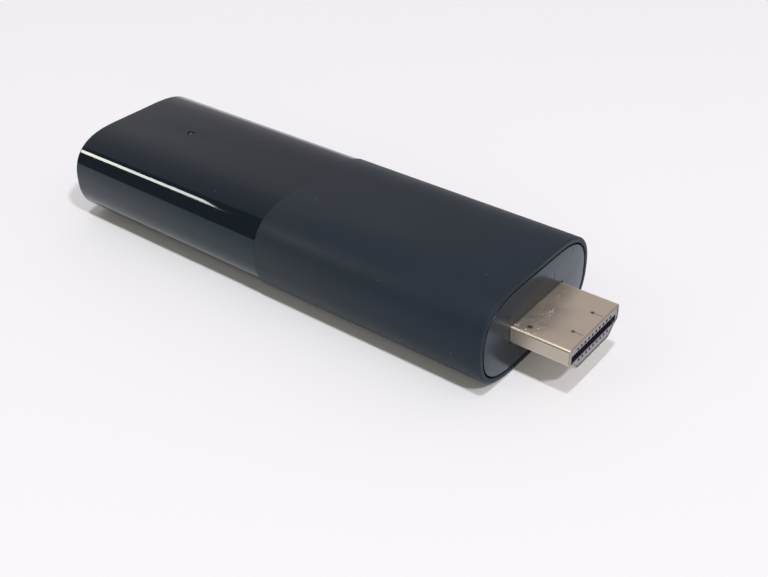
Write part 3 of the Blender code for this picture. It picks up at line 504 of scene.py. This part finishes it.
def add_turned(name, x, y, profile, material, steps=48):
    """A solid turned about the vertical through x and y, from (radius, z) points."""

    def ring(radius, z):
        turns = [2 * pi * i / steps for i in range(steps)]
        return [(x + radius * cos(turn), y + radius * sin(turn), z) for turn in turns]

    return add_rings(name, [ring(*point) for point in profile], material, capped=True)


def add_box(name, low, high, material):
    outline = [(low[0], low[1]), (high[0], low[1]), (high[0], high[1]), (low[0], high[1])]
    return add_prism(name, outline, "Z", low[2], high[2], material)


# Outlines.

def body_outline(inset):
    """The tube's section: a flat strip top and bottom, and a superellipse shoulder between."""
    half_width = BODY_WIDTH / 2 - FLAT_HALF_WIDTH
    quarter = []
    for step in range(BODY_STEPS + 1):
        turn = pi / 2 * step / BODY_STEPS
        side = cos(turn) ** (2 / SIDE_EXPONENT) if step < BODY_STEPS else 0.0
        rise = sin(turn) ** (2 / CROWN_EXPONENT)
        slope_y = SIDE_EXPONENT / half_width * side ** (SIDE_EXPONENT - 1)
        slope_z = CROWN_EXPONENT / MIDDLE_Z * rise ** (CROWN_EXPONENT - 1)
        steepness = hypot(slope_y, slope_z)
        y = FLAT_HALF_WIDTH + half_width * side - inset * slope_y / steepness
        z = MIDDLE_Z * rise - inset * slope_z / steepness
        quarter.append((y, z))
    left = [(-y, z) for y, z in reversed(quarter)]
    upper = quarter + left
    lower = [(y, -z) for y, z in reversed(upper[1:-1])]
    return [(y, MIDDLE_Z + z) for y, z in upper + lower]


def body_ring(x, inset):
    return [(x, y, z) for y, z in body_outline(inset)]


def edge_rings(ring, end_x, end_inset, radius, direction, steps=6):
    """Rings round an edge, from the side of the tube to its flat end."""
    rings = []
    for step in range(steps + 1):
        turn = pi / 2 * step / steps
        back, across = 1 - sin(turn), 1 - cos(turn)
        rings.append(ring(end_x - direction * radius * back, end_inset + radius * across))
    return rings


def inset_outline(points, inset):
    """An outline, given anticlockwise, moved inwards by the same distance all round."""
    moved = []
    for i, point in enumerate(points):
        here = Vector(point)
        into = (here - Vector(points[i - 1])).normalized()
        out = (Vector(points[(i + 1) % len(points)]) - here).normalized()
        normals = Vector((-into.y, into.x)), Vector((-out.y, out.x))
        corner = (normals[0] + normals[1]) / (1 + normals[0].dot(normals[1]))
        moved.append(tuple(here + inset * corner))
    return moved


def round_corners(points, radius, steps=8):
    """Each corner of an outline replaced by an arc that starts `radius` before it."""
    rounded = []
    for i, point in enumerate(points):
        here = Vector(point)
        start = here + (Vector(points[i - 1]) - here).normalized() * radius
        end = here + (Vector(points[(i + 1) % len(points)]) - here).normalized() * radius
        for step in range(steps + 1):
            t = step / steps
            rounded.append(tuple((1 - t) ** 2 * start + 2 * t * (1 - t) * here + t * t * end))
    return rounded


def plug_corners():
    """The plug's section: a wide upper part, a step in, and a sloping lower part."""
    half_width, half_height = PLUG_WIDTH / 2, PLUG_HEIGHT / 2
    wall_z = half_height - PLUG_WALL_DROP
    notch_y = half_width - PLUG_NOTCH
    right = [
        (notch_y - PLUG_SLOPE_RUN, -half_height),
        (notch_y, wall_z - PLUG_NOTCH_DROP),
        (half_width, wall_z),
        (half_width, half_height),
    ]
    left = [(-y, z) for y, z in reversed(right)]
    return [(y, PLUG_Z + z) for y, z in right + left]


def plug_outline(inset):
    return round_corners(inset_outline(plug_corners(), inset), PLUG_CORNER)


def plug_ring(x, inset):
    return [(x, y, z) for y, z in plug_outline(inset)]


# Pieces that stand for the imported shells.

def make_front_skin(material):
    rings = [
        body_ring(PARTING_X, PARTING_EDGE),
        body_ring(PARTING_X + PARTING_EDGE / 2, PARTING_EDGE / 4),
        body_ring(PARTING_X + PARTING_EDGE, 0.0),
        *edge_rings(body_ring, NOSE_X, 0.0, NOSE_FILLET, 1),
        body_ring(NOSE_X, RIM_WALL - RIM_INNER_EDGE),
        body_ring(NOSE_X - RIM_INNER_EDGE / 3, RIM_WALL - RIM_INNER_EDGE / 3),
        body_ring(NOSE_X - RIM_INNER_EDGE, RIM_WALL),
        body_ring(LEDGE_X, RIM_WALL),
        body_ring(LEDGE_X, LEDGE_WALL),
        body_ring(LEDGE_REAR_X, LEDGE_WALL),
        body_ring(LEDGE_REAR_X, WALL),
        body_ring(PARTING_X, WALL),
    ]
    skin = add_rings("front_shell_skin", rings, material, capped=False)
    join_rails(skin, SPIGOT_END_X + RAIL_END_GAP, PLUG_REAR_X - RAIL_END_GAP, WALL)
    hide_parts("front_shell")
    return skin


def make_tail_skin(material):
    shoulder_x = PARTING_X - SEAM_GAP
    inset = WALL + SPIGOT_CLEARANCE
    inner = inset + SPIGOT_WALL
    thick_x = shoulder_x - SPIGOT_WALL
    rings = [
        *reversed(edge_rings(body_ring, TAIL_X, TAIL_STEP, TAIL_FILLET, -1, steps=8)),
        body_ring(shoulder_x - PARTING_EDGE, TAIL_STEP),
        body_ring(shoulder_x, TAIL_STEP + PARTING_EDGE),
        body_ring(shoulder_x, inset),
        body_ring(SPIGOT_END_X, inset),
        body_ring(SPIGOT_END_X, inner),
        body_ring(thick_x, inner),
        body_ring(thick_x - SPIGOT_WALL, TAIL_STEP + WALL),
        body_ring(TAIL_X + TAIL_STEP + WALL, TAIL_STEP + WALL),
    ]
    skin = add_rings("tail_shell_skin", rings, material, capped=True)
    join_rails(skin, BOARD_LOW.x, thick_x - SPIGOT_WALL - RAIL_END_GAP, TAIL_STEP + WALL)
    apply_boolean(skin, window_cutter())
    apply_boolean(skin, socket_cutter())
    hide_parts("tail_shell")
    return skin


def join_rails(skin, start_x, end_x, wall_inset):
    """A rail along each inner side, which the board's edge rests on."""
    top_z = BOARD_LOW.z - SEAT_GAP
    bottom_z = top_z - RAIL_HEIGHT
    inner_y = BOARD_HIGH.y - RAIL_OVERLAP
    near_side = [point for point in body_outline(wall_inset) if point[0] > 0 and point[1] < MIDDLE_Z]
    outer_y = min(near_side, key=lambda point: abs(point[1] - bottom_z))[0] + WALL / 3
    for side in (-1, 1):
        low = (start_x, min(side * inner_y, side * outer_y), bottom_z)
        high = (end_x, max(side * inner_y, side * outer_y), top_z)
        apply_boolean(skin, add_box("rail", low, high, None), "UNION")


def window_cutter():
    top = BODY_HEIGHT - TAIL_STEP
    profile = [
        (WINDOW_RADIUS, MIDDLE_Z),
        (WINDOW_RADIUS, top - 0.03 * MM),
        (WINDOW_RADIUS + WINDOW_CHAMFER, top + 0.01 * MM),
        (WINDOW_RADIUS + WINDOW_CHAMFER, top + WALL),
    ]
    return add_turned("window_cutter", WINDOW_X, 0.0, profile, None)


def socket_outline(inset):
    """The socket's mouth, in X and Z: a rectangle whose two lower corners are cut off."""
    low_x, high_x = SOCKET_LOW.x, SOCKET_HIGH.x
    bottom, top = SOCKET_LOW.z, SOCKET_HIGH.z
    corners = [
        (low_x + SOCKET_CHAMFER, bottom),
        (high_x - SOCKET_CHAMFER, bottom),
        (high_x, bottom + SOCKET_CHAMFER),
        (high_x, top),
        (low_x, top),
        (low_x, bottom + SOCKET_CHAMFER),
    ]
    return inset_outline(corners, inset)


def socket_cutter():
    outline = round_corners(socket_outline(-SOCKET_MOUTH_GAP), SOCKET_MOUTH_CORNER)
    side_y = BODY_WIDTH / 2
    return add_prism("socket_cutter", outline, "Y", side_y - 3 * WALL, side_y + WALL, None)


def make_plate_skin(material):
    inset = RIM_WALL + PLATE_GAP
    rings = [
        body_ring(PLATE_REAR_X, inset),
        *edge_rings(body_ring, NOSE_X, inset, PLATE_EDGE, 1, steps=4),
    ]
    plate = add_rings("end_plate_skin", rings, material, capped=True)
    hole = round_corners(inset_outline(plug_corners(), -PLATE_CUT_GAP), PLUG_CORNER)
    apply_boolean(plate, add_prism("plug_hole", hole, "X", NOSE_X - 4 * MM, NOSE_X + MM, None))
    for side in (-1, 1):
        hook = add_prism("hook", hook_outline(side), "Y", -HOOK_WIDTH / 2, HOOK_WIDTH / 2, None)
        apply_boolean(plate, hook, "UNION")
    for y, low_z, high_z in MOULD_TICKS:
        low = (NOSE_X - TICK_DEPTH, y - TICK_HALF_WIDTH, low_z)
        high = (NOSE_X + TICK_DEPTH, y + TICK_HALF_WIDTH, high_z)
        apply_boolean(plate, add_box("tick", low, high, None))
    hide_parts("end_plate")
    return plate


def hook_outline(side):
    """In X and Z: a tongue behind the plate with a barb that catches behind the shell's ledge."""
    outer = MIDDLE_Z - LEDGE_WALL - HOOK_CLEARANCE
    inner, barb = outer - HOOK_THICKNESS, outer + HOOK_BARB
    catch_x = LEDGE_REAR_X - HOOK_CLEARANCE
    end_x = catch_x - 2 * HOOK_BARB
    root_x = PLATE_REAR_X + HOOK_ROOT
    tongue = [(root_x, inner), (end_x, inner), (end_x, outer)]
    catch = [(catch_x, barb), (catch_x, outer), (root_x, outer)]
    return [(x, MIDDLE_Z + side * z) for x, z in tongue + catch]


def make_plug_skin(material):
    """Sheet folded to the plug's section, with a lip at the mouth and two catch cuts on top."""
    lip = PLUG_LIP
    rings = [
        plug_ring(PLUG_REAR_X, 0.0),
        plug_ring(TIP_X - 1.2 * lip, 0.0),
        plug_ring(TIP_X - 0.6 * lip, 0.12 * lip),
        plug_ring(TIP_X - 0.2 * lip, 0.45 * lip),
        plug_ring(TIP_X, lip),
        plug_ring(TIP_X, PLUG_SHEET - 0.04 * MM),
        plug_ring(TIP_X - 0.04 * MM, PLUG_SHEET),
        plug_ring(PLUG_REAR_X, PLUG_SHEET),
    ]
    skin = add_rings("plug_shell_skin", rings, material, capped=False)
    low_z, high_z = PLUG_HIGH.z - 2 * PLUG_SHEET, PLUG_HIGH.z + PLUG_SHEET
    for side in (-1, 1):
        apply_boolean(skin, add_prism("key_cutter", key_outline(side), "Z", low_z, high_z, None))
    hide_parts("plug_shell")
    return skin


def key_outline(side, steps=28):
    """A round hole with a slit that runs from it towards the tip."""
    hole_x = TIP_X - KEY_HOLE_FROM_TIP
    half = KEY_SLIT_WIDTH / 2
    centre_y = side * KEY_HOLE_OFFSET
    opening = half / KEY_HOLE_RADIUS
    outline = [(TIP_X - KEY_SLIT_END, centre_y - half), (TIP_X - KEY_SLIT_END, centre_y + half)]
    for step in range(steps + 1):
        turn = opening + (2 * pi - 2 * opening) * step / steps
        outline.append((hole_x + KEY_HOLE_RADIUS * cos(turn), centre_y + KEY_HOLE_RADIUS * sin(turn)))
    return outline


def make_pipe_skin(material):
    """A stem, a flange that rests under the roof, and a slim tip with a crowned end."""
    flange_top = PIPE_HIGH.z - PIPE_FLANGE_DROP
    flange_bottom = flange_top - PIPE_FLANGE_HEIGHT
    profile = [(PIPE_STEM_RADIUS, PIPE_LOW.z), (PIPE_STEM_RADIUS, flange_bottom)]
    profile += [(PIPE_FLANGE_RADIUS, flange_bottom), (PIPE_FLANGE_RADIUS, flange_top)]
    profile.append((PIPE_TIP_RADIUS, flange_top))
    for step in range(5):
        turn = pi / 2 * step / 4.6
        profile.append((PIPE_TIP_RADIUS * cos(turn * 0.9), PIPE_HIGH.z - PIPE_CROWN * (1 - sin(turn))))
    pipe = add_turned("light_pipe_skin", WINDOW_X, 0.0, profile, material, steps=32)
    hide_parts("light_pipe")
    return pipe


def make_socket_skin(material):
    """Drawn sheet with rounded corners and a mouth flared a little outwards."""
    front_y, rear_y = SOCKET_HIGH.y, SOCKET_LOW.y

    def ring(y, inset):
        return [(x, y, z) for x, z in round_corners(socket_outline(inset), SOCKET_CORNER, 5)]

    rings = [
        ring(rear_y, 0.05 * MM),
        ring(rear_y + 0.05 * MM, 0.0),
        ring(front_y - 0.04 * MM, 0.0),
        ring(front_y, 0.04 * MM),
        ring(front_y, SOCKET_SHEET - 0.08 * MM),
        ring(front_y - 0.12 * MM, SOCKET_SHEET),
        ring(rear_y + SOCKET_SHEET, SOCKET_SHEET),
    ]
    skin = add_rings("power_socket_skin", rings, material, capped=True)
    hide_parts("power_socket_shell")
    return skin


# Stage.

def make_floor(material):
    """The table top, level with the underside of the stick."""

    def build(shape):
        bmesh.ops.create_grid(shape, x_segments=8, y_segments=8, size=FLOOR_SIZE / 2)

    floor = add_mesh("floor", build, material)


def add_area(name, place, target, size, power, colour, size_y=None, along=None):
    """A rectangular lamp that faces the target. Its first side lies level, or along a direction."""
    light = bpy.data.lights.new(name, "AREA")
    light.shape = "RECTANGLE"
    light.size = size
    light.size_y = size_y or size
    light.energy = power
    light.color = colour
    obj = bpy.data.objects.new(name, light)
    obj.location = place
    away = (Vector(place) - Vector(target)).normalized()
    side = Vector(along) if along else Vector((0, 0, 1)).cross(away)
    side = (side - side.dot(away) * away).normalized()
    obj.rotation_euler = Matrix((side, away.cross(side), away)).transposed().to_euler()
    bpy.context.scene.collection.objects.link(obj)
    return obj


def make_world():
    """A pale room, dim and a little green on the near side."""
    world = bpy.data.worlds.new("room")
    world.use_nodes = True
    tree = world.node_tree
    background = tree.nodes["Background"]
    way = tree.nodes.new("ShaderNodeTexCoord")
    facing = tree.nodes.new("ShaderNodeVectorMath")
    facing.operation = "DOT_PRODUCT"
    facing.inputs[1].default_value = BRIGHT_WAY
    share = tree.nodes.new("ShaderNodeMapRange")
    share.interpolation_type = "SMOOTHSTEP"
    share.inputs["From Min"].default_value = DUSK_FROM
    share.inputs["From Max"].default_value = DUSK_TO
    blend = tree.nodes.new("ShaderNodeMix")
    blend.data_type = "RGBA"
    blend.inputs[MIX_FIRST].default_value = (*DIM_WALL, 1.0)
    blend.inputs[MIX_SECOND].default_value = (*PALE_WALL, 1.0)
    tree.links.new(way.outputs["Generated"], facing.inputs[0])
    tree.links.new(facing.outputs["Value"], share.inputs["Value"])
    tree.links.new(share.outputs["Result"], blend.inputs[MIX_SHARE])
    tree.links.new(blend.outputs[MIX_RESULT], background.inputs["Color"])
    bpy.context.scene.world = world


def around(azimuth, elevation, distance):
    """A place seen from the stick in this direction, in degrees, at this distance."""
    turn, rise = radians(azimuth), radians(elevation)
    return (distance * cos(rise) * cos(turn), distance * cos(rise) * sin(turn), distance * sin(rise))


def make_lights():
    """Two lamps give the shadows, a window the long highlight, and two walls fill the near side.

    The window shows only in reflections, and the left wall only in the light that it sheds.
    """
    centre = (0.0, 0.0, MIDDLE_Z)
    for name, azimuth, elevation, power, colour in (
        ("ceiling_lamp", -63, 75, 21.5, (0.985, 0.985, 1.0)),
        ("second_lamp", -19, 50.5, 23.5, (0.99, 0.98, 0.98)),
    ):
        add_area(name, around(azimuth, elevation, LAMP_DISTANCE), centre, LAMP_SIZE, power, colour)
    warm = (1.0, 0.82, 0.62)
    size = DAYLIGHT_LENGTH
    window = add_area("window", DAYLIGHT_PLACE, centre, size, 4.6, warm, DAYLIGHT_WIDTH, DAYLIGHT_ALONG)
    window.visible_diffuse = False
    add_area("near_wall", around(-50, 26, WALL_DISTANCE), centre, 1.1, 4.8, (1.0, 0.945, 0.90))
    place = around(-128, 30, WALL_DISTANCE)
    left_wall = add_area("left_wall", place, centre, 1.0, 3.6, (1.0, 0.91, 0.76))
    left_wall.visible_glossy = False


def make_camera():
    camera = bpy.data.cameras.new("camera")
    camera.sensor_width = CAMERA_SENSOR
    camera.lens = CAMERA_LENS
    camera.clip_start = CAMERA_NEAREST
    obj = bpy.data.objects.new("camera", camera)
    forward = Vector(CAMERA_FORWARD).normalized()
    right = Vector(CAMERA_RIGHT)
    right = (right - right.dot(forward) * forward).normalized()
    up = right.cross(forward)
    turn = Matrix((right, up, -forward)).transposed()
    obj.matrix_world = Matrix.Translation(CAMERA_PLACE) @ turn.to_4x4()
    bpy.context.scene.collection.objects.link(obj)
    bpy.context.scene.camera = obj


def paint_frame(materials):
    """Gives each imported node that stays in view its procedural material."""
    by_slot = {}
    for part in frame["record"]["subparts"]:
        by_slot[part["node"]] = part["material_slot"]
    for name, obj in frame["nodes"].items():
        material = materials[by_slot[name]]
        for slot in obj.material_slots:
            slot.material = material
        if not obj.material_slots:
            obj.data.materials.append(material)


def make_materials():
    """One material for each slot of the record. Each colour varies between the two given."""
    matte = (0.0160, 0.0220, 0.0305), (0.0190, 0.0253, 0.0350)
    gloss = (0.005, 0.0075, 0.012), (0.007, 0.0095, 0.015)
    satin = (0.004, 0.007, 0.014), (0.006, 0.009, 0.017)
    nickel = (0.735, 0.655, 0.530), (0.805, 0.730, 0.600)
    return {
        "matte_shell": matte_plastic("matte_shell_skin", *matte, 0.48, 0.20),
        "gloss_shell": gloss_plastic("gloss_shell_skin", *gloss, 0.03),
        "end_plate": matte_plastic("end_plate_skin", *satin, 0.22, 0.74, 0.0000015),
        "light_pipe": clear_moulding("light_pipe_clear"),
        "plated_steel": plated_metal("plug_plating", *nickel, 0.33, NOSE_X + 2.6 * MM, NOSE_X + 4.6 * MM),
        "insulator": insulator_plastic("insulator_moulding"),
        "gold_plate": plain_metal("gold_plate", (0.78, 0.55, 0.22), (0.88, 0.66, 0.30), 0.24),
        "circuit_board": board_laminate("circuit_board"),
        "chip_package": chip_package("chip_package", (0.014, 0.014, 0.016), (0.030, 0.030, 0.032)),
        "shield_steel": plain_metal("shield_steel", (0.52, 0.52, 0.50), (0.66, 0.66, 0.64), 0.32),
        "thermal_pad": soft_pad("thermal_pad", (0.30, 0.36, 0.44), (0.42, 0.48, 0.55)),
        "aluminium": plain_metal("aluminium", (0.66, 0.67, 0.69), (0.78, 0.79, 0.80), 0.38, 120.0),
        "ferrite": chip_package("ferrite", (0.05, 0.05, 0.052), (0.09, 0.09, 0.092)),
        "ceramic": chip_package("ceramic", (0.36, 0.25, 0.15), (0.50, 0.36, 0.23)),
        "led_resin": soft_pad("led_resin", (0.72, 0.72, 0.62), (0.85, 0.85, 0.78)),
    }


def main():
    materials = make_materials()
    paint_frame(materials)
    skins = [
        make_front_skin(materials["matte_shell"]),
        make_tail_skin(materials["gloss_shell"]),
        make_plate_skin(materials["end_plate"]),
        make_plug_skin(materials["plated_steel"]),
        make_pipe_skin(materials["light_pipe"]),
        make_socket_skin(materials["shield_steel"]),
    ]
    for skin in skins:
        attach(skin, "root")
    make_floor(floor_surface("floor_surface"))
    make_world()
    make_lights()
    make_camera()
    bpy.context.scene.view_settings.view_transform = "Standard"


main()
